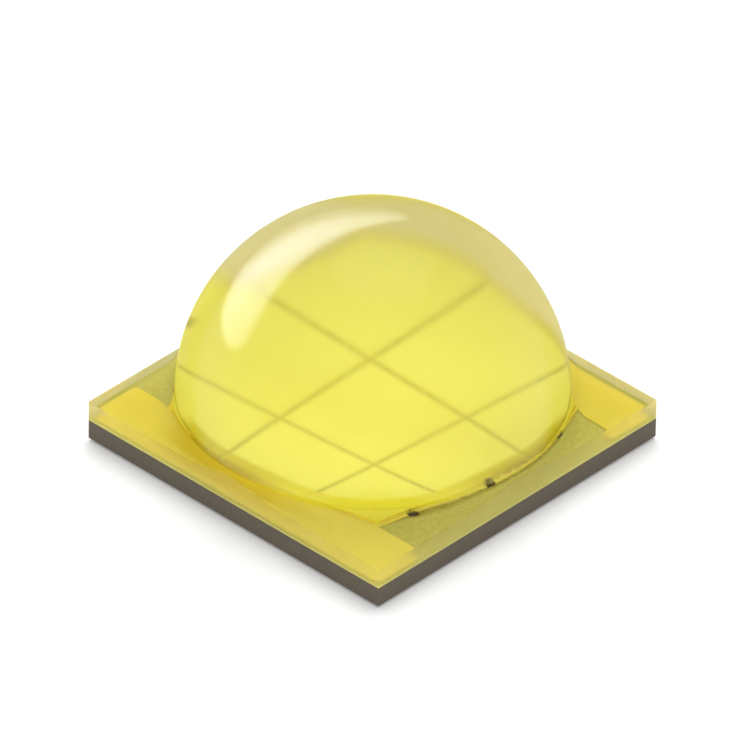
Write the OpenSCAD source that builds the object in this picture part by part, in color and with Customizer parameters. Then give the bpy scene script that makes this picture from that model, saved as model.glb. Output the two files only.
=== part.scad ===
// High-power surface-mount LED: flip-chip dies on a ceramic tile, under a sprayed
// phosphor coat and a moulded silicone lens.
// The origin is the centre of the solder pads' underside. +Z points towards the lens,
// -X is the anode's side and +X the cathode's. Current crosses the columns along X.

/* [Ceramic] */
// Side of the square package, which the tile, the phosphor film and the lens share
package_side = 7; // [6.6:0.1:8]
// Thickness of the ceramic tile
ceramic_thick = 0.38; // [0.25:0.01:1]

/* [Lens] */
// Radius of the silicone dome
dome_radius = 3.46; // [2.8:0.01:3.6]
// Height of the dome's straight foot above the flange
foot_height = 0.17; // [0.02:0.01:0.6]
// Radius of the fillet between the dome and the flange
dome_fillet = 0.28; // [0.1:0.01:0.5]
// Thickness of the silicone flange on the ceramic
flange_thick = 0.4; // [0.32:0.01:0.8]

/* [Dies] */
// Number of die columns, which are wired in series
die_columns = 3; // [2:1:3]
// Number of die rows, which are wired in parallel
die_rows = 3; // [2:1:3]
// Side of one square die
die_side = 1.5; // [1:0.05:1.6]
// Gap between neighbouring dies
die_gap = 0.1; // [0.06:0.01:0.2]
// Thickness of a die
die_thick = 0.1; // [0.08:0.01:0.15]
// Thickness of the solder under a die
solder_thick = 0.02; // [0.02:0.005:0.05]
// Distance from a die's edge to its solder
solder_inset = 0.06; // [0.03:0.01:0.15]
// Distance from a trace's edge to the solder, under the middle of a die
solder_setback = 0.03; // [0.02:0.01:0.1]

/* [Top traces] */
// Thickness of the gold-plated copper traces
trace_thick = 0.04; // [0.02:0.005:0.08]
// Gap between neighbouring traces, under the middle of each die column
trace_gap = 0.24; // [0.15:0.01:0.4]
// Bare ceramic between the outer traces and the package's edge
trace_margin = 0.12; // [0.05:0.01:0.3]
// Width of the border of trace outside the dies
trace_border = 0.1; // [0.05:0.01:0.15]
// Radius of the traces' corners
trace_corner = 0.08; // [0.02:0.01:0.1]

/* [Phosphor] */
// Thickness of the phosphor plateau over the dies
coat_thick = 0.04; // [0.025:0.005:0.08]
// Distance that the plateau's top reaches past the outer dies
coat_border = 0.03; // [0.03:0.01:0.12]
// Radius of the plateau's corners
coat_corner = 1.5; // [0.4:0.1:1.5]
// Distance that the plateau's slope runs out from its top to its foot
coat_slope = 0.16; // [0.05:0.01:0.2]
// Thickness of the sprayed film on the ceramic, the traces and the dies' corners
film_thick = 0.02; // [0.01:0.005:0.025]
// Width of the grooves where the plateau sags between dies
groove_width = 0.14; // [0.08:0.01:0.2]
// Depth of the grooves
groove_depth = 0.022; // [0.01:0.002:0.03]
// Width of the notches in the plateau's foot at the ends of the trace gaps
notch_width = 0.16; // [0.08:0.01:0.2]

/* [Solder pads] */
// Thickness of the solder pads under the ceramic
pad_thick = 0.05; // [0.03:0.005:0.1]
// Bare ceramic between the solder pads and the package's edge
pad_margin = 0.2; // [0.1:0.01:0.4]
// Width of the anode's and the cathode's pad
electrode_width = 0.9; // [0.7:0.05:1.1]
// Gap between the thermal pad and its neighbours
pad_gap = 0.5; // [0.3:0.05:0.8]
// Radius of the solder pads' corners
pad_corner = 0.1; // [0.05:0.01:0.2]
// Length of the chamfers that mark the cathode's pad
polarity_chamfer = 0.35; // [0.2:0.05:0.5]

/* [Vias] */
// Number of filled vias in each electrode
via_count = 4; // [2:1:4]
// Diameter of a via
via_diameter = 0.2; // [0.1:0.01:0.4]
// Distance between neighbouring vias
via_pitch = 1.6; // [0.8:0.1:1.8]

/* [Hidden] */
$fn = 96;
// Heights of the faces that the layers share, from the solder pads' underside up
ceramic_bottom = pad_thick;
ceramic_top = ceramic_bottom + ceramic_thick;
trace_top = ceramic_top + trace_thick;
die_bottom = trace_top + solder_thick;
die_top = die_bottom + die_thick;
coat_top = die_top + coat_thick;
flange_top = ceramic_top + flange_thick;
dome_centre = flange_top + foot_height;
// The dies' array and the plateau over it
die_pitch = die_side + die_gap;
array_half_x = (die_columns * die_pitch - die_gap) / 2;
array_half_y = (die_rows * die_pitch - die_gap) / 2;
plateau_half_x = array_half_x + coat_border;
plateau_half_y = array_half_y + coat_border;
// The outer traces' far edge, and the edge of the border round the dies
trace_reach = package_side / 2 - trace_margin;
border_half_x = array_half_x + trace_border;
border_half_y = array_half_y + trace_border;
// The solder pads' far edge, and the middle of the electrodes' pads
pad_reach = package_side / 2 - pad_margin;
electrode_x = pad_reach - electrode_width / 2;
thermal_half = pad_reach - electrode_width - pad_gap;
// The fillet's circle touches the flange and the dome, or the foot where that is taller
fillet_rise = max(dome_fillet - foot_height, 0);
fillet_centre = sqrt((dome_radius + dome_fillet) ^ 2 - fillet_rise ^ 2);
fillet_top = min(dome_fillet, foot_height + dome_radius * fillet_rise / (dome_radius + dome_fillet));
// Overshoot of a cutting tool past the face that it leaves by
overshoot = 0.1;

function die_name(row, column) = str("die_row", row, "_column", column);
function solder_name(row, column, side) = str("solder_", side, "_row", row, "_column", column);
function link_name(link) = str("link_trace_", link);
function via_name(electrode, via) = str(electrode, "_via_", via);
// Places in a centred row of equal steps, counted from 1
function centred(index, count, pitch) = (index - (count + 1) / 2) * pitch;
function column_x(column) = centred(column, die_columns, die_pitch);
function row_y(row) = centred(row, die_rows, die_pitch);

ELECTRODES = ["anode", "cathode"];
SIDES = ["anode", "cathode"];

// A block between two corners, with its upright edges rounded where a radius is given
module block(low, high, bottom, top, corner = 0) {
    size = high - low;
    translate([low.x, low.y, bottom])
        if (corner > 0)
            linear_extrude(top - bottom) rounded_rectangle(size, corner);
        else
            cube([size.x, size.y, top - bottom]);
}

module rounded_rectangle(size, corner) {
    translate([corner, 0]) square([size.x - 2 * corner, size.y]);
    translate([0, corner]) square([size.x, size.y - 2 * corner]);
    for (x = [corner, size.x - corner], y = [corner, size.y - corner])
        translate([x, y]) circle(corner);
}

// The same piece at the anode's end, or turned round to the cathode's end
module at_end(electrode) {
    rotate(electrode == "anode" ? 0 : 180) children();
}

// The vias' places, in the frame of one electrode's end
module at_via(via) {
    translate([-electrode_x, centred(via, via_count, via_pitch), ceramic_bottom]) children();
}

module via_fill() {
    cylinder(d = via_diameter, h = ceramic_thick);
}

module via(electrode, via) {
    color("peru") at_end(electrode) at_via(via) via_fill();
}

module ceramic_substrate() {
    half = package_side / 2;
    color("dimgray") difference() {
        block([-half, -half], [half, half], ceramic_bottom, ceramic_top);
        for (electrode = ELECTRODES, via = [1:via_count])
            at_end(electrode) at_via(via) via_fill();
    }
}

module electrode_pad() {
    block([-pad_reach, -pad_reach], [electrode_width - pad_reach, pad_reach], 0, pad_thick, pad_corner);
}

module anode_pad() {
    color("gold") electrode_pad();
}

// Both outer corners are cut off, which tells the cathode's end from the anode's
module cathode_pad() {
    color("gold") at_end("cathode") difference() {
        electrode_pad();
        for (y = [-pad_reach, pad_reach])
            translate([-pad_reach, y, pad_thick / 2]) rotate(45)
                cube([polarity_chamfer * sqrt(2), polarity_chamfer * sqrt(2), pad_thick + overshoot], center = true);
    }
}

module thermal_pad() {
    color("gold") block([-thermal_half, -pad_reach], [thermal_half, pad_reach], 0, pad_thick, pad_corner);
}

// One outer trace at the anode's end: a wide band for the vias, and a tongue under half of
// the outer die column. Grown, it is the space that the phosphor film covers.
module outer_trace(grow = 0) {
    corner = trace_corner + grow;
    top = trace_top + grow;
    band_low = [-trace_reach - grow, -trace_reach - grow];
    band_high = [grow - border_half_x, trace_reach + grow];
    block(band_low, band_high, ceramic_top, top, corner);
    tongue_x = column_x(1) - trace_gap / 2 + grow;
    block([-border_half_x - trace_corner, -border_half_y - grow], [tongue_x, border_half_y + grow],
        ceramic_top, top);
}

// The trace from the middle of one die column to the middle of the next
module inner_trace(link, grow = 0) {
    low = [column_x(link) + trace_gap / 2 - grow, -border_half_y - grow];
    high = [column_x(link + 1) - trace_gap / 2 + grow, border_half_y + grow];
    block(low, high, ceramic_top, trace_top + grow);
}

module anode_trace() {
    color("goldenrod") outer_trace();
}

module cathode_trace() {
    color("goldenrod") at_end("cathode") outer_trace();
}

module link_trace(link) {
    color("goldenrod") inner_trace(link);
}

module all_traces(grow = 0) {
    for (electrode = ELECTRODES)
        at_end(electrode) outer_trace(grow);
    for (link = [1:die_columns - 1])
        inner_trace(link, grow);
}

// One of the two solder layers under a die, on the trace at that side
module solder(row, column, side) {
    far = die_side / 2 - solder_inset;
    near = trace_gap / 2 + solder_setback;
    color("silver") translate([column_x(column), row_y(row)]) at_end(side)
        block([-far, -far], [-near, far], trace_top, die_bottom);
}

module all_solder() {
    for (row = [1:die_rows], column = [1:die_columns], side = SIDES)
        solder(row, column, side);
}

module die(row, column, grow = 0) {
    half = die_side / 2 + grow;
    bottom = grow > 0 ? ceramic_top : die_bottom;
    color("lightsteelblue") translate([column_x(column), row_y(row)])
        block([-half, -half], [half, half], bottom, die_top + grow);
}

module all_dies(grow = 0) {
    for (row = [1:die_rows], column = [1:die_columns])
        die(row, column, grow);
}

// A wedge-sided strip along Y, from the plateau's inside to its foot on the +X side
module plateau_side(half, length) {
    height = coat_top - ceramic_top;
    rotate([90, 0, 0])
        linear_extrude(length, center = true)
            polygon([
                [0, 0],
                [half + coat_slope, 0],
                [half, height],
                [0, height],
            ]);
}

// The thick phosphor over the dies: a low mesa with round corners and sloping sides
module plateau() {
    straight_x = plateau_half_x - coat_corner;
    straight_y = plateau_half_y - coat_corner;
    translate([0, 0, ceramic_top]) {
        for (turn = [0, 180])
            rotate(turn) plateau_side(plateau_half_x, 2 * straight_y);
        for (turn = [90, 270])
            rotate(turn) plateau_side(plateau_half_y, 2 * straight_x);
        for (x = [-straight_x, straight_x], y = [-straight_y, straight_y])
            translate([x, y])
                cylinder(r1 = coat_corner + coat_slope, r2 = coat_corner, h = coat_top - ceramic_top);
    }
}

// A V along Y in the plateau's top
module groove() {
    reach = max(plateau_half_x, plateau_half_y) + coat_slope;
    translate([0, 0, coat_top]) rotate([90, 0, 0])
        linear_extrude(2 * reach, center = true)
            polygon([
                [0, -groove_depth],
                [groove_width / 2, 0],
                [groove_width / 2, overshoot],
                [-groove_width / 2, overshoot],
                [-groove_width / 2, 0],
            ]);
}

module all_grooves() {
    for (column = [1:die_columns - 1])
        translate([column_x(column) + die_pitch / 2, 0]) groove();
    for (row = [1:die_rows - 1])
        translate([0, row_y(row) + die_pitch / 2]) rotate(90) groove();
}

// Where a trace gap runs out from under the dies, the spray leaves a bare spot, with no
// more than the film on the die's side
module all_notches() {
    inner = array_half_y + film_thick;
    outer = plateau_half_y + coat_slope;
    for (column = [1:die_columns], side = [0, 180])
        rotate(side) translate([column_x(column), 0])
            block([-notch_width / 2, inner], [notch_width / 2, outer], ceramic_top, coat_top + overshoot);
}

// Everything up to the phosphor's outer surface, from a base height up
module coat_envelope(base) {
    half = package_side / 2;
    difference() {
        union() {
            block([-half, -half], [half, half], base, ceramic_top + film_thick);
            all_traces(film_thick);
            all_dies(film_thick);
            difference() {
                plateau();
                all_grooves();
            }
        }
        all_notches();
    }
}

module phosphor_coat() {
    color("yellow") difference() {
        coat_envelope(ceramic_top);
        all_traces();
        all_solder();
        all_dies();
    }
}

// The lens in section: a dome on a straight foot, with the fillet at its base
module dome_section() {
    difference() {
        square([fillet_centre, fillet_top]);
        translate([fillet_centre, dome_fillet]) circle(dome_fillet);
    }
    square([dome_radius, foot_height]);
    translate([0, foot_height]) intersection() {
        circle(dome_radius);
        square(dome_radius);
    }
}

// The dome and its fillet are cut off by the package's sides, where the saw passed, and the
// lens's underside is the exact negative of the phosphor's surface
module silicone_lens() {
    half = package_side / 2;
    color("khaki", 0.6) difference() {
        union() {
            block([-half, -half], [half, half], ceramic_top, flange_top);
            intersection() {
                translate([0, 0, flange_top]) rotate_extrude() dome_section();
                block([-half, -half], [half, half], flange_top, dome_centre + dome_radius);
            }
        }
        coat_envelope(ceramic_top - overshoot);
    }
}

anode_pad();
thermal_pad();
cathode_pad();
ceramic_substrate();
for (electrode = ELECTRODES, via = [1:via_count])
    via(electrode, via);
anode_trace();
cathode_trace();
for (link = [1:die_columns - 1])
    link_trace(link);
for (row = [1:die_rows], column = [1:die_columns], side = SIDES)
    solder(row, column, side);
for (row = [1:die_rows], column = [1:die_columns])
    die(row, column);
phosphor_coat();
silicone_lens();
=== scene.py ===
import math

import bmesh
import bpy
from mathutils import Matrix, Vector


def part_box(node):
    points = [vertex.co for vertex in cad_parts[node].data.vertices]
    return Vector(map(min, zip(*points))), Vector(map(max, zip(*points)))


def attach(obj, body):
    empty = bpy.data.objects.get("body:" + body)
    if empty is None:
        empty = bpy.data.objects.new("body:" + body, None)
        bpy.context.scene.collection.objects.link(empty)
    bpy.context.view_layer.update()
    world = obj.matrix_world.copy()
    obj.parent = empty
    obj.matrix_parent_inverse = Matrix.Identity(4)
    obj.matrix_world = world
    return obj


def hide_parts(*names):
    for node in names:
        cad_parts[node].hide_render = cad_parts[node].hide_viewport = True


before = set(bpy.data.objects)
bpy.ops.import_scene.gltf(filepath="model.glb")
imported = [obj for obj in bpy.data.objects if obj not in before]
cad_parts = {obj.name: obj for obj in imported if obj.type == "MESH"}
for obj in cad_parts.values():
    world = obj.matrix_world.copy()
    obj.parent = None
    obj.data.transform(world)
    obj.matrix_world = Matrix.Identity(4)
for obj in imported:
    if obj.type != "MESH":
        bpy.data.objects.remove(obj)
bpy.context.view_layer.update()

MM = 0.001

# The camera: a long lens, from a little above and to the left of the package's front corner
CAMERA_AZIMUTH = -46.66
CAMERA_ELEVATION = 35.84
CAMERA_ROLL = 0.81
CAMERA_DISTANCE = 262.3 * MM
CAMERA_TARGET = Vector((1.361, 1.239, 0.05)) * MM
FOCAL_LENGTH = 717.2

# The lens's own sizes. Its heights, its sides and the dome's radius come from the CAD parts.
FOOT_HEIGHT = 0.17 * MM
DOME_FILLET = 0.28 * MM
FLANGE_THICK = 0.4 * MM
# Width of the broken edge at the flange's rim, and its angles between the flange's top and side
RIM_BREAK = 0.012 * MM
RIM_TURNS = (30, 60, 90)
# Width of the lens's rim that stands on the film
RIM_WIDTH = 0.1 * MM
# The lens's underside lies this far inside what it stands on, so that no air shows between them
FILM_BITE = 0.001 * MM
# Steps round the lens, and down its outline over the dome, the fillet and the flange's top
LENS_TURNS = 288
DOME_STEPS = 72
FILLET_STEPS = 14
FLAT_STEPS = 6
SKIN_STEPS = DOME_STEPS + FILLET_STEPS + FLAT_STEPS + len(RIM_TURNS)
# The turns of the two sides that meet at the package's front corner
NEAR_TURNS = range(LENS_TURNS * 3 // 8, LENS_TURNS * 7 // 8)
# Edges that fold by less than this, in degrees, are shaded smooth
SMOOTH_ANGLE = 25

SILICONE_IOR = 1.41
SILICONE_TINT = (0.995, 0.99, 0.975, 1.0)

# The coat in plan, in millimetres: the outline of the plateau, and the middle of it, where the phosphor is
# thickest, which lies off centre
PLATEAU_HALF = 2.36
PLATEAU_CORNER = 1.52
PLATEAU_CENTRE = (-0.04, 0.03, 0.0)
CORE_HALF = 2.2
CORE_CORNER = 1.65
CORE_CENTRE = (0.15, 0.13, 0.0)
# The inner traces end within this of the package's middle, and what shades them fades out just beyond
LINKS_HALF = 1.6
LINKS_FADE = 0.1
# Centre and radius of each spot of painted shade with a painted glint, at a notch in the coat's front edge
PAINTED_NOTCH_SHADE = (((-1.6, -2.48, 0.0), 0.13), ((0.0, -2.44, 0.0), 0.11))
PACKAGE_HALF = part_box("ceramic_substrate")[1].x / MM

# Heights of the coat's faces, in millimetres: the film on what carries it, and the plateau
FILM_THICK = 0.02
CERAMIC_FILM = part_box("ceramic_substrate")[1].z / MM + FILM_THICK
TRACE_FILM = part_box("anode_trace")[1].z / MM + FILM_THICK
DIE_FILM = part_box("die_row1_column1")[1].z / MM + FILM_THICK
PLATEAU_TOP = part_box("phosphor_coat")[1].z / MM

# Unit vectors in plan, from the front corner to the back one and from the right corner to the left one
BACKWARD = (0.707, 0.707, 0.0)
LEFTWARD = (-0.707, 0.707, 0.0)
# Where each part of the coat begins and where it is whole, in millimetres along those vectors
FAR_SIDE = (0.2, 1.2)
NEAR_SIDE = (0.1, -0.4)
# Where the painted light at the front begins and where it is whole
FRONT_PAINTED_LIGHT = (-1.3, -2.2)
LEFT_SIDE = (-0.6, 0.6)
# Where the painted rim tan of the far side ends, short of the left corner, in millimetres to the left
TAN_END = (1.35, 1.05)

# How far the phosphor's ragged edges wander, in millimetres from one end of the noise to the other
CORE_WANDER = 0.12
FOOT_WANDER = 0.14
SPOT_WANDER = 0.1

FLOOR_SIZE = 0.8
# Light that the floor adds to its own look
FLOOR_LIFT = 0.08

# The room's light at the horizon and above, and the height on the world's sphere where it is the latter
ROOM_LOW = 1.0
ROOM_HIGH = 0.74
ROOM_TURN = 0.5


def colour(red, green, blue):
    """A colour written as it is seen, from 0 to 255, as the linear values that a shader takes."""
    linear = [((c / 255 + 0.055) / 1.055) ** 2.4 if c > 10 else c / 3295 for c in (red, green, blue)]
    return (*linear, 1.0)


# Painted rim tan: the pale tan that the dome's far rim shows, painted on the coat's far side as its colour
PAINTED_RIM_TAN = colour(243, 232, 154)


class Shader:
    """A material's nodes, with short calls for those that are used here."""

    def __init__(self, name):
        self.material = bpy.data.materials.new(name)
        self.material.use_nodes = True
        self.tree = self.material.node_tree
        self.body = self.tree.nodes["Principled BSDF"]
        self.output = self.tree.nodes["Material Output"]
        self.point = self.node("ShaderNodeVectorMath", operation="SCALE")
        self.point.inputs["Scale"].default_value = 1 / MM
        coordinates = self.node("ShaderNodeTexCoord")
        self.feed(self.point.inputs[0], coordinates.outputs["Object"])
        self.place = self.point.outputs["Vector"]

    def node(self, kind, **settings):
        made = self.tree.nodes.new(kind)
        for key, value in settings.items():
            setattr(made, key, value)
        return made

    def feed(self, socket, value):
        """Links an output to a socket, or sets the socket to a plain value."""
        if isinstance(value, bpy.types.NodeSocket):
            self.tree.links.new(value, socket)
        else:
            socket.default_value = value

    def math(self, operation, *values):
        made = self.node("ShaderNodeMath", operation=operation)
        for socket, value in zip(made.inputs, values):
            self.feed(socket, value)
        return made.outputs[0]

    def vector(self, operation, *values):
        made = self.node("ShaderNodeVectorMath", operation=operation)
        for socket, value in zip(made.inputs, values):
            self.feed(socket, value)
        return made.outputs["Value" if operation in ("LENGTH", "DOT_PRODUCT") else "Vector"]

    def axes(self):
        """The place's x, y and z, in millimetres."""
        made = self.node("ShaderNodeSeparateXYZ")
        self.feed(made.inputs[0], self.place)
        return made.outputs

    def noise(self, scale, detail=4.0, roughness=0.5, stretch=None):
        """Noise of a scale per millimetre, from about 0.3 to 0.7."""
        made = self.node("ShaderNodeTexNoise")
        place = self.vector("MULTIPLY", self.place, stretch) if stretch else self.place
        self.feed(made.inputs["Vector"], place)
        made.inputs["Scale"].default_value = scale
        made.inputs["Detail"].default_value = detail
        made.inputs["Roughness"].default_value = roughness
        return made.outputs["Fac"]

    def step(self, value, low, high, to_low=0.0, to_high=1.0):
        """A smooth step of a value, from to_low at low to to_high at high."""
        made = self.node("ShaderNodeMapRange", interpolation_type="SMOOTHSTEP")
        for socket, number in zip(made.inputs, (value, low, high, to_low, to_high)):
            self.feed(socket, number)
        return made.outputs["Result"]

    def mix(self, share, first, second):
        made = self.node("ShaderNodeMix", data_type="RGBA")
        self.feed(made.inputs[0], share)
        self.feed(made.inputs[6], first)
        self.feed(made.inputs[7], second)
        return made.outputs[2]

    def both(self, *shares):
        """The product of several shares."""
        product = shares[0]
        for share in shares[1:]:
            product = self.math("MULTIPLY", product, share)
        return product

    def ragged(self, distance, noise, wander):
        """A distance that a noise moves to and fro, so that an edge drawn by it is ragged."""
        return self.math("ADD", distance, self.math("MULTIPLY", self.math("SUBTRACT", noise, 0.5), wander))

    def outside(self, half, corner, centre):
        """Distance outside a square with round corners, in plan. It is below zero inside."""
        straight = half - corner
        plan = self.vector("MULTIPLY", self.vector("SUBTRACT", self.place, centre), (1.0, 1.0, 0.0))
        past = self.vector("SUBTRACT", self.vector("ABSOLUTE", plan), (straight, straight, 0.0))
        past = self.vector("MAXIMUM", past, (0.0, 0.0, 0.0))
        return self.math("SUBTRACT", self.vector("LENGTH", past), corner)

    def away_from(self, centre):
        """Distance from a centre, in plan."""
        plan = self.vector("MULTIPLY", self.vector("SUBTRACT", self.place, centre), (1.0, 1.0, 0.0))
        return self.vector("LENGTH", plan)

    def bump(self, height, distance, strength):
        made = self.node("ShaderNodeBump")
        self.feed(made.inputs["Height"], height)
        made.inputs["Distance"].default_value = distance
        made.inputs["Strength"].default_value = strength
        self.feed(self.body.inputs["Normal"], made.outputs["Normal"])

    def set(self, **sockets):
        for name, value in sockets.items():
            self.feed(self.body.inputs[name.replace("_", " ")], value)


class Sides:
    """Where on the coat a place lies: its distances to the back and to the left, and shares from 0 to 1."""

    def __init__(self, s):
        self.towards_back = s.vector("DOT_PRODUCT", s.place, BACKWARD)
        self.towards_left = s.vector("DOT_PRODUCT", s.place, LEFTWARD)
        self.far = s.step(self.towards_back, *FAR_SIDE)
        # The share of the painted rim tan: the far side, short of the left corner
        self.tan = s.both(self.far, s.step(self.towards_left, *TAN_END))
        self.near = s.step(self.towards_back, *NEAR_SIDE)
        # The share of the painted light at the front
        self.front = s.step(self.towards_back, *FRONT_PAINTED_LIGHT)
        self.left = s.step(self.towards_left, *LEFT_SIDE)


def thick_middle(s, sides, mottle):
    """The plateau's bright phosphor, painted lighter towards the right, the left corner and the front, with
    painted shade in the grooves.
    """
    x, y, z = s.axes()
    drift = s.noise(0.6, detail=2.0)
    bright = s.mix(s.step(drift, 0.35, 0.65), colour(245, 236, 86), colour(240, 231, 82))
    # Painted light: the phosphor is painted brighter towards the right, towards the left corner and towards
    # the front
    rightward = s.math("ADD", x, s.math("MULTIPLY", y, 0.4))
    bright = s.mix(s.step(rightward, -0.3, 1.8), bright, colour(255, 248, 98))
    bright = s.mix(s.step(sides.towards_left, 0.4, 2.0), bright, colour(252, 244, 88))
    bright = s.mix(s.step(sides.towards_back, -0.2, -1.8), bright, colour(250, 242, 88))
    bright = s.mix(s.step(mottle, 0.3, 0.75, 0.0, 0.3), bright, colour(248, 240, 104))
    # Painted shade in the grooves between the dies
    painted_groove_shade = s.both(s.step(z, PLATEAU_TOP - 0.003, DIE_FILM, 0.0, 0.7), s.step(y, 2.36, 2.3))
    return s.mix(painted_groove_shade, bright, colour(200, 184, 50))


def film_colour(s, sides, edge, mottle):
    """The thin film by what lies under it, olive on ceramic, gold on traces and yellow on dies, with painted
    light, painted shade and the painted rim tan.
    """
    x, y, z = s.axes()
    across = s.math("MAXIMUM", s.math("ABSOLUTE", x), s.math("ABSOLUTE", y))
    rim = s.math("SUBTRACT", across, PACKAGE_HALF)
    # Painted light on the film near the package's rim
    painted_rim_light = s.step(rim, -0.35, -0.03, 0.0, 0.8)
    on_ceramic = s.mix(s.step(mottle, 0.35, 0.7), colour(210, 202, 96), colour(222, 215, 110))
    on_ceramic = s.mix(painted_rim_light, on_ceramic, colour(222, 217, 124))
    # Painted shade on the gold film along the left side, near the dome's base
    shaded = s.both(
        s.step(y, -2.1, 0.1),
        s.step(y, 2.4, 1.4),
        s.step(x, 0.0, -0.5),
        s.step(rim, -0.15, -0.5),
    )
    on_trace = s.mix(s.step(mottle, 0.3, 0.7), colour(250, 230, 86), colour(252, 232, 90))
    # Painted light at the front
    on_trace = s.mix(sides.front, on_trace, colour(255, 238, 104))
    on_trace = s.mix(shaded, on_trace, colour(236, 207, 44))
    on_trace = s.mix(painted_rim_light, on_trace, colour(250, 232, 108))
    # Painted rim tan at the far side: on the dies' film, and on all the film beyond the slope
    on_die = s.mix(sides.tan, colour(254, 242, 76), PAINTED_RIM_TAN)
    film = s.mix(s.step(z, CERAMIC_FILM + 0.01, TRACE_FILM - 0.01), on_ceramic, on_trace)
    film = s.mix(s.step(z, TRACE_FILM + 0.02, DIE_FILM - 0.01), film, on_die)
    return s.mix(s.both(sides.tan, s.step(edge, 0.45, 0.3)), film, PAINTED_RIM_TAN)


def with_band(s, surface, sides, ragged):
    """Adds the thinner band round the middle, at the near sides only, with painted light at the front."""
    band = s.mix(sides.left, colour(222, 207, 34), colour(228, 212, 36))
    # Painted light at the front
    band = s.mix(sides.front, band, colour(244, 231, 48))
    core = s.ragged(s.outside(CORE_HALF, CORE_CORNER, CORE_CENTRE), ragged, CORE_WANDER)
    return s.mix(s.both(sides.near, s.step(core, -0.06, 0.08)), surface, band)


def with_slope(s, surface, sides, edge, ragged):
    """Adds the plateau's slope: deep gold at the near sides, and the painted rim tan at the far ones."""
    x, y, _ = s.axes()
    skirt = s.mix(sides.left, colour(198, 176, 22), colour(208, 182, 26))
    # Painted light at the front
    skirt = s.mix(sides.front, skirt, colour(252, 238, 60))
    skirt = s.mix(s.step(ragged, 0.4, 0.65, 0.0, 0.3), skirt, colour(232, 212, 40))
    surface = s.mix(s.both(sides.near, s.step(edge, -0.2, 0.06)), surface, skirt)
    not_far = s.math("SUBTRACT", 1.0, sides.far)
    surface = s.mix(s.both(not_far, s.step(edge, -0.03, 0.05)), surface, skirt)

    # At the far side the painted rim tan's edge cuts the left corner off aslant
    cut_off = s.math("SUBTRACT", s.math("ADD", y, s.math("MULTIPLY", x, 0.305)), 2.52)
    far_edge = s.math("MAXIMUM", edge, cut_off)
    surface = s.mix(s.both(sides.tan, s.step(far_edge, -0.06, 0.0)), surface, colour(232, 217, 78))
    return s.mix(s.both(sides.tan, s.step(far_edge, 0.01, 0.05)), surface, PAINTED_RIM_TAN)


def with_foot_line(s, surface, wander, ragged):
    """Adds the dark ragged line along the slope's foot, strong on ceramic and faint on the inner traces."""
    x, y, z = s.axes()
    on_links = s.both(
        s.step(x, -LINKS_HALF - LINKS_FADE, -LINKS_HALF),
        s.step(x, LINKS_HALF + LINKS_FADE, LINKS_HALF, 0.0, 0.4),
    )
    off_gold = s.math("MAXIMUM", on_links, s.step(z, TRACE_FILM, CERAMIC_FILM + 0.01))
    line = s.both(s.step(wander, 0.1, 0.17), s.step(wander, 0.55, 0.28), off_gold, s.step(y, 0.0, -1.5))
    return s.mix(s.both(line, s.step(ragged, 0.36, 0.6, 0.25, 0.85)), surface, colour(150, 134, 36))


def with_painted_notch_shade(s, surface, ragged):
    """Adds painted shade in the notches where the trace gaps run out: dark, with a painted glint."""
    # Painted shade in each notch, flecked with a painted glint
    glint = s.step(s.noise(34.0, detail=1.0), 0.62, 0.68)
    painted_shade_and_glint = s.mix(glint, colour(104, 88, 24), colour(226, 220, 190))
    for centre, radius in PAINTED_NOTCH_SHADE:
        away = s.ragged(s.away_from(centre), ragged, SPOT_WANDER)
        surface = s.mix(s.step(away, radius, radius - 0.05), surface, painted_shade_and_glint)
    return surface


def phosphor():
    """Sprayed phosphor: bright where thick, deeper towards the plateau's edge, and a thin film beyond, with
    painted light, shade and glints over it.
    """
    s = Shader("phosphor")
    _, _, z = s.axes()
    sides = Sides(s)
    mottle = s.noise(9.0, detail=5.0, roughness=0.65)
    ragged = s.noise(14.0, detail=3.0, roughness=0.7)
    edge = s.outside(PLATEAU_HALF, PLATEAU_CORNER, PLATEAU_CENTRE)

    surface = thick_middle(s, sides, mottle)
    surface = with_band(s, surface, sides, ragged)
    surface = with_slope(s, surface, sides, edge, ragged)

    # The film begins at the slope's foot, which lies a little further in on a trace than on the ceramic
    wander = s.ragged(edge, ragged, FOOT_WANDER)
    raised = s.math("MULTIPLY", s.step(z, CERAMIC_FILM, TRACE_FILM), 0.04)
    past_foot = s.step(s.math("ADD", wander, raised), 0.11, 0.16)
    surface = s.mix(past_foot, surface, film_colour(s, sides, edge, mottle))
    surface = with_foot_line(s, surface, wander, ragged)
    surface = with_painted_notch_shade(s, surface, ragged)

    s.set(Base_Color=surface, Roughness=s.step(mottle, 0.3, 0.7, 0.75, 0.95))
    s.bump(mottle, 0.006 * MM, 0.5)
    s.body.inputs["Specular IOR Level"].default_value = 0.15
    return s.material


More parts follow.
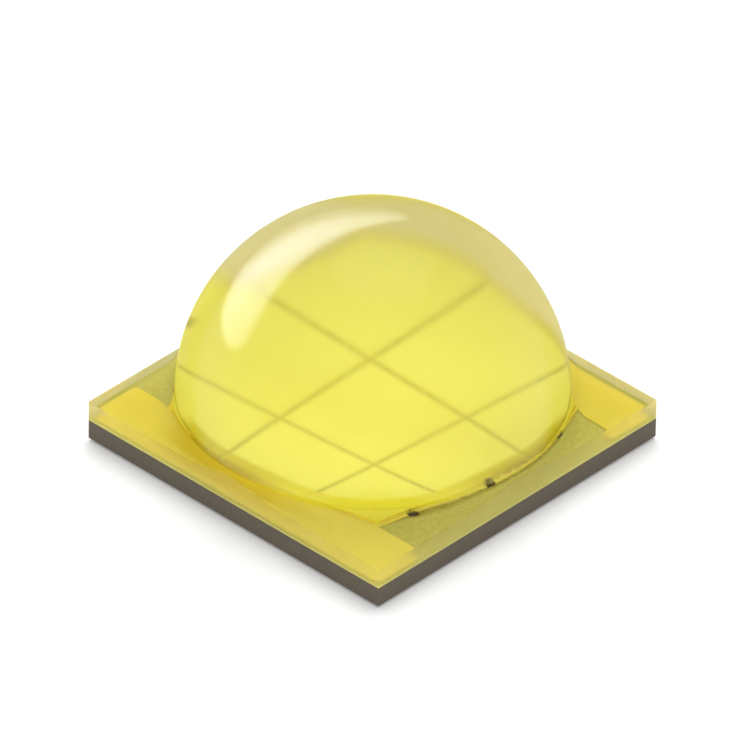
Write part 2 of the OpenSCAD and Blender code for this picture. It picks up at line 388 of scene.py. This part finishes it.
def moulded_silicone(name, roughness, clear_from, clear_to, cleared):
    """Moulded silicone: clear, and soft-skinned, so that it mirrors less than glass does.

    Where a glass's mirror strength would pass from clear_from to clear_to, it loses a share of it that grows
    to cleared.
    """
    s = Shader(name)
    grain = s.noise(5.0, detail=3.0)
    s.set(Base_Color=SILICONE_TINT, Roughness=s.step(grain, 0.35, 0.65, roughness, roughness * 1.3))
    s.body.inputs["Transmission Weight"].default_value = 1.0
    s.body.inputs["IOR"].default_value = SILICONE_IOR
    mirror = s.node("ShaderNodeFresnel")
    mirror.inputs["IOR"].default_value = SILICONE_IOR
    geometry = s.node("ShaderNodeNewGeometry")
    from_outside = s.math("SUBTRACT", 1.0, geometry.outputs["Backfacing"])
    skin = s.node("ShaderNodeBsdfRefraction")
    s.feed(skin.inputs["Color"], SILICONE_TINT)
    skin.inputs["Roughness"].default_value = roughness
    skin.inputs["IOR"].default_value = SILICONE_IOR
    blend = s.node("ShaderNodeMixShader")
    lost = s.step(mirror.outputs[0], clear_from, clear_to, 0.0, cleared)
    s.feed(blend.inputs[0], s.both(from_outside, lost))
    s.feed(blend.inputs[1], s.body.outputs[0])
    s.feed(blend.inputs[2], skin.outputs[0])
    s.feed(s.output.inputs["Surface"], blend.outputs[0])
    return s.material


def sawn_silicone(name, transmission, light, dark):
    """The flange's sides, where the saw passed: matt, and straw-coloured."""
    s = Shader(name)
    cut = s.noise(30.0, detail=4.0, stretch=(1.0, 1.0, 0.3))
    cloud = s.noise(2.5, detail=3.0)
    tint = s.mix(s.step(cloud, 0.35, 0.65), dark, light)
    s.set(Base_Color=tint, Roughness=s.step(cut, 0.3, 0.7, 0.5, 0.6))
    s.body.inputs["Transmission Weight"].default_value = transmission
    s.body.inputs["IOR"].default_value = SILICONE_IOR
    s.bump(cut, 0.001 * MM, 0.3)
    return s.material


def ceramic():
    """Dark fired ceramic, fine-grained, with the faint upright scores of the saw."""
    s = Shader("ceramic")
    grain = s.noise(16.0, detail=6.0, roughness=0.7)
    cloud = s.noise(0.9, detail=3.0)
    scores = s.noise(30.0, detail=2.0, stretch=(1.0, 1.0, 0.06))
    tone = s.mix(s.step(grain, 0.3, 0.7), colour(90, 81, 68), colour(106, 97, 83))
    tone = s.mix(s.step(cloud, 0.4, 0.65, 0.0, 0.5), tone, colour(98, 93, 78))
    s.set(Base_Color=tone, Roughness=s.step(grain, 0.3, 0.7, 0.55, 0.8))
    s.bump(s.math("ADD", grain, s.math("MULTIPLY", scores, 0.6)), 0.006 * MM, 0.7)
    s.body.inputs["Specular IOR Level"].default_value = 0.3
    return s.material


def plated(name, light, dark):
    """Plated metal with a fine grain and slow changes of tone."""
    s = Shader(name)
    grain = s.noise(40.0, detail=4.0)
    cloud = s.noise(1.2, detail=3.0)
    s.set(
        Base_Color=s.mix(s.step(cloud, 0.35, 0.65), light, dark),
        Metallic=s.step(grain, 0.2, 0.5, 0.9, 1.0),
        Roughness=s.step(grain, 0.3, 0.7, 0.28, 0.42),
    )
    s.bump(grain, 0.002 * MM, 0.4)
    return s.material


def sapphire():
    """The dies' polished crystal, grey-blue over a mirror of silver."""
    s = Shader("die")
    cloud = s.noise(3.0, detail=3.0)
    s.set(
        Base_Color=s.mix(s.step(cloud, 0.35, 0.65), colour(178, 190, 205), colour(160, 174, 194)),
        Metallic=s.step(cloud, 0.3, 0.7, 0.5, 0.6),
        Roughness=s.step(cloud, 0.3, 0.7, 0.08, 0.14),
    )
    return s.material


def floor_paint():
    """A plain white table top, a little whiter to the eye than the light on it makes it."""
    s = Shader("floor")
    grain = s.noise(0.15, detail=2.0)
    white = s.mix(s.step(grain, 0.3, 0.7), colour(255, 255, 255), colour(252, 252, 252))
    s.set(Base_Color=white, Roughness=0.9)
    s.body.inputs["Specular IOR Level"].default_value = 0.0
    rays = s.node("ShaderNodeLightPath")
    seen = rays.outputs["Is Camera Ray"]
    for kind in ("Is Glossy Ray", "Is Transmission Ray"):
        seen = s.math("MAXIMUM", seen, rays.outputs[kind])
    s.set(Emission_Color=colour(255, 255, 255), Emission_Strength=s.math("MULTIPLY", seen, FLOOR_LIFT))
    return s.material


def dress_nodes(nodes):
    """Gives each CAD node its own finish, apart from the lens, which make_lens replaces."""
    finishes = {
        "ceramic_substrate": ceramic(),
        "phosphor_coat": phosphor(),
        "_pad": plated("pad_gold", colour(232, 200, 128), colour(218, 184, 108)),
        "_trace": plated("trace_gold", colour(228, 196, 112), colour(214, 180, 96)),
        "_via_": plated("via_copper", colour(206, 138, 100), colour(190, 120, 84)),
        "solder_": plated("solder", colour(196, 196, 198), colour(176, 177, 180)),
        "die_": sapphire(),
    }
    for name, node in nodes.items():
        if name == "silicone_lens":
            continue
        node.data.materials.clear()
        node.data.materials.append(next(finishes[part] for part in finishes if part in name))


def lens_section(reach, radius, flange_top, foot, base):
    """The lens's outline from the dome's top to its underside, as (distance from the axis, height).

    The package's side is reach away. The lens stands on the film at its rim and on the ceramic within. Every
    outline has as many points, so that neighbours join up.
    """
    dome_centre = flange_top + FOOT_HEIGHT
    across = radius + DOME_FILLET
    touch = math.asin((DOME_FILLET - FOOT_HEIGHT) / across)
    fillet_axis = across * math.cos(touch)
    points = []
    for i in range(DOME_STEPS + 1):
        tilt = math.pi / 2 + (touch - math.pi / 2) * i / DOME_STEPS
        points.append((radius * math.cos(tilt), dome_centre + radius * math.sin(tilt)))
    last = math.pi / 2
    if reach < fillet_axis:
        last = math.acos((fillet_axis - reach + RIM_BREAK) / DOME_FILLET)
    for i in range(1, FILLET_STEPS + 1):
        tilt = touch + (last - touch) * i / FILLET_STEPS
        from_axis = fillet_axis - DOME_FILLET * math.cos(tilt)
        points.append((from_axis, flange_top + DOME_FILLET * (1 - math.sin(tilt))))
    edge, height = points[-1]
    flat = max(reach - RIM_BREAK, edge) - edge
    for i in range(1, FLAT_STEPS + 1):
        points.append((edge + flat * i / FLAT_STEPS, height))
    for turn in RIM_TURNS:
        tilt = math.radians(turn)
        points.append((reach - RIM_BREAK * (1 - math.sin(tilt)), height - RIM_BREAK * (1 - math.cos(tilt))))
    points.append((reach, (height + foot) / 2))
    points.append((reach, foot))
    points.append((reach - RIM_WIDTH, foot))
    points.append((reach - RIM_WIDTH, base))
    return points


def lens_finish(step, turn):
    """Which of the lens's materials a face takes: the dome's, the flange's, a near wall's, or the far walls'
    copy with painted light.
    """
    if step < DOME_STEPS:
        return 0
    if step < SKIN_STEPS:
        return 1
    return 2 if turn in NEAR_TURNS else 3


def lens_mesh():
    """The lens as a fine lathed mesh, cut off by the package's four sides."""
    half, _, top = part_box("silicone_lens")[1]
    ceramic_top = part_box("ceramic_substrate")[1].z
    flange_top = ceramic_top + FLANGE_THICK
    radius = top - flange_top - FOOT_HEIGHT
    foot = CERAMIC_FILM * MM - FILM_BITE
    base = ceramic_top - FILM_BITE
    mesh = bmesh.new()
    rings = []
    for turn in range(LENS_TURNS):
        angle = math.tau * turn / LENS_TURNS
        across = (math.cos(angle), math.sin(angle))
        reach = half / max(abs(across[0]), abs(across[1]))
        section = lens_section(reach, radius, flange_top, foot, base)
        rings.append([mesh.verts.new((r * across[0], r * across[1], z)) for r, z in section])
    for turn, ring in enumerate(rings):
        after = rings[(turn + 1) % LENS_TURNS]
        for i in range(len(ring) - 1):
            face = mesh.faces.new((ring[i], ring[i + 1], after[i + 1], after[i]))
            face.material_index = lens_finish(i, turn)
    mesh.faces.new([ring[-1] for ring in reversed(rings)])
    bmesh.ops.remove_doubles(mesh, verts=mesh.verts, dist=0.00005 * MM)
    bmesh.ops.recalc_face_normals(mesh, faces=mesh.faces)
    for face in mesh.faces:
        face.smooth = True
    for edge in mesh.edges:
        edge.smooth = edge.calc_face_angle(0.0) < math.radians(SMOOTH_ANGLE)
    data = bpy.data.meshes.new("silicone_dome_lens")
    mesh.to_mesh(data)
    mesh.free()
    return data


def make_lens():
    """Puts the lathed lens in the place of the CAD one, with a material for each of its skins."""
    data = lens_mesh()
    for finish in (
        moulded_silicone("clear_silicone", roughness=0.125, clear_from=0.04, clear_to=0.12, cleared=0.85),
        moulded_silicone("flange_silicone", roughness=0.12, clear_from=0.0, clear_to=0.03, cleared=0.97),
        sawn_silicone("sawn_silicone", 1.0, colour(250, 245, 208), colour(246, 240, 196)),
        # The far walls take a paler, milkier copy of the sawn silicone: painted light from the film that
        # they scatter
        sawn_silicone("far_walls_painted_light_silicone", 0.45, colour(254, 250, 220), colour(250, 244, 208)),
    ):
        data.materials.append(finish)
    lens = bpy.data.objects.new("silicone_dome_lens", data)
    bpy.context.collection.objects.link(lens)
    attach(lens, "root")
    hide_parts("silicone_lens")


def make_floor():
    mesh = bmesh.new()
    bmesh.ops.create_grid(mesh, x_segments=2, y_segments=2, size=FLOOR_SIZE / 2)
    data = bpy.data.meshes.new("floor")
    mesh.to_mesh(data)
    mesh.free()
    data.materials.append(floor_paint())
    floor = bpy.data.objects.new("floor", data)
    bpy.context.collection.objects.link(floor)


def towards(azimuth, elevation):
    """The unit vector from the object towards that azimuth, counted as the camera's is, and elevation."""
    a, e = math.radians(azimuth), math.radians(elevation)
    return Vector((math.sin(a) * math.cos(e), -math.cos(a) * math.cos(e), math.sin(e)))


def make_lamp(name, azimuth, elevation, distance, size, strength, spread=180):
    """An oval soft box that faces the object. strength is the light's own brightness, where 1 is white."""
    data = bpy.data.lights.new(name, "AREA")
    data.shape = "ELLIPSE"
    data.size, data.size_y = size
    data.energy = strength * math.pi * (math.pi / 4) * size[0] * size[1]
    data.spread = math.radians(spread)
    lamp = bpy.data.objects.new(name, data)
    bpy.context.collection.objects.link(lamp)
    place = towards(azimuth, elevation)
    lamp.location = place * distance
    lamp.rotation_mode = "QUATERNION"
    lamp.rotation_quaternion = place.to_track_quat("Z", "Y")
    return lamp


def make_lights():
    """A broad soft box high behind the object lights it. A wide low one only draws the arc on the dome."""
    key = make_lamp("key", azimuth=125, elevation=66, distance=1.5, size=(1.2, 1.2), strength=2.95)
    key.visible_glossy = False
    arc = make_lamp(
        "arc", azimuth=169, elevation=21, distance=0.4, size=(0.72, 0.26), strength=3.4, spread=130
    )
    arc.visible_diffuse = False
    arc.visible_transmission = False


def make_world():
    """A pale room, a little darker above than towards the horizon."""
    world = bpy.data.worlds.new("room")
    world.use_nodes = True
    bpy.context.scene.world = world
    tree = world.node_tree
    backdrop = tree.nodes["Background"]
    coordinates = tree.nodes.new("ShaderNodeTexCoord")
    split = tree.nodes.new("ShaderNodeSeparateXYZ")
    ramp = tree.nodes.new("ShaderNodeValToRGB")
    low, high = ramp.color_ramp.elements
    low.position = 0.0
    low.color = (ROOM_LOW, ROOM_LOW, ROOM_LOW, 1.0)
    high.position = ROOM_TURN
    high.color = (ROOM_HIGH, ROOM_HIGH, ROOM_HIGH, 1.0)
    tree.links.new(coordinates.outputs["Generated"], split.inputs[0])
    tree.links.new(split.outputs["Z"], ramp.inputs["Fac"])
    tree.links.new(ramp.outputs["Color"], backdrop.inputs["Color"])


def make_camera():
    data = bpy.data.cameras.new("camera")
    data.lens = FOCAL_LENGTH
    camera = bpy.data.objects.new("camera", data)
    bpy.context.collection.objects.link(camera)
    back = towards(CAMERA_AZIMUTH, CAMERA_ELEVATION)
    aim = (-back).to_track_quat("-Z", "Y").to_matrix().to_4x4()
    roll = Matrix.Rotation(math.radians(CAMERA_ROLL), 4, "Z")
    camera.matrix_world = Matrix.Translation(CAMERA_TARGET + back * CAMERA_DISTANCE) @ aim @ roll
    bpy.context.scene.camera = camera


bpy.context.scene.view_settings.view_transform = "Standard"
make_camera()
make_world()
make_lights()
make_floor()
dress_nodes(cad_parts)
make_lens()
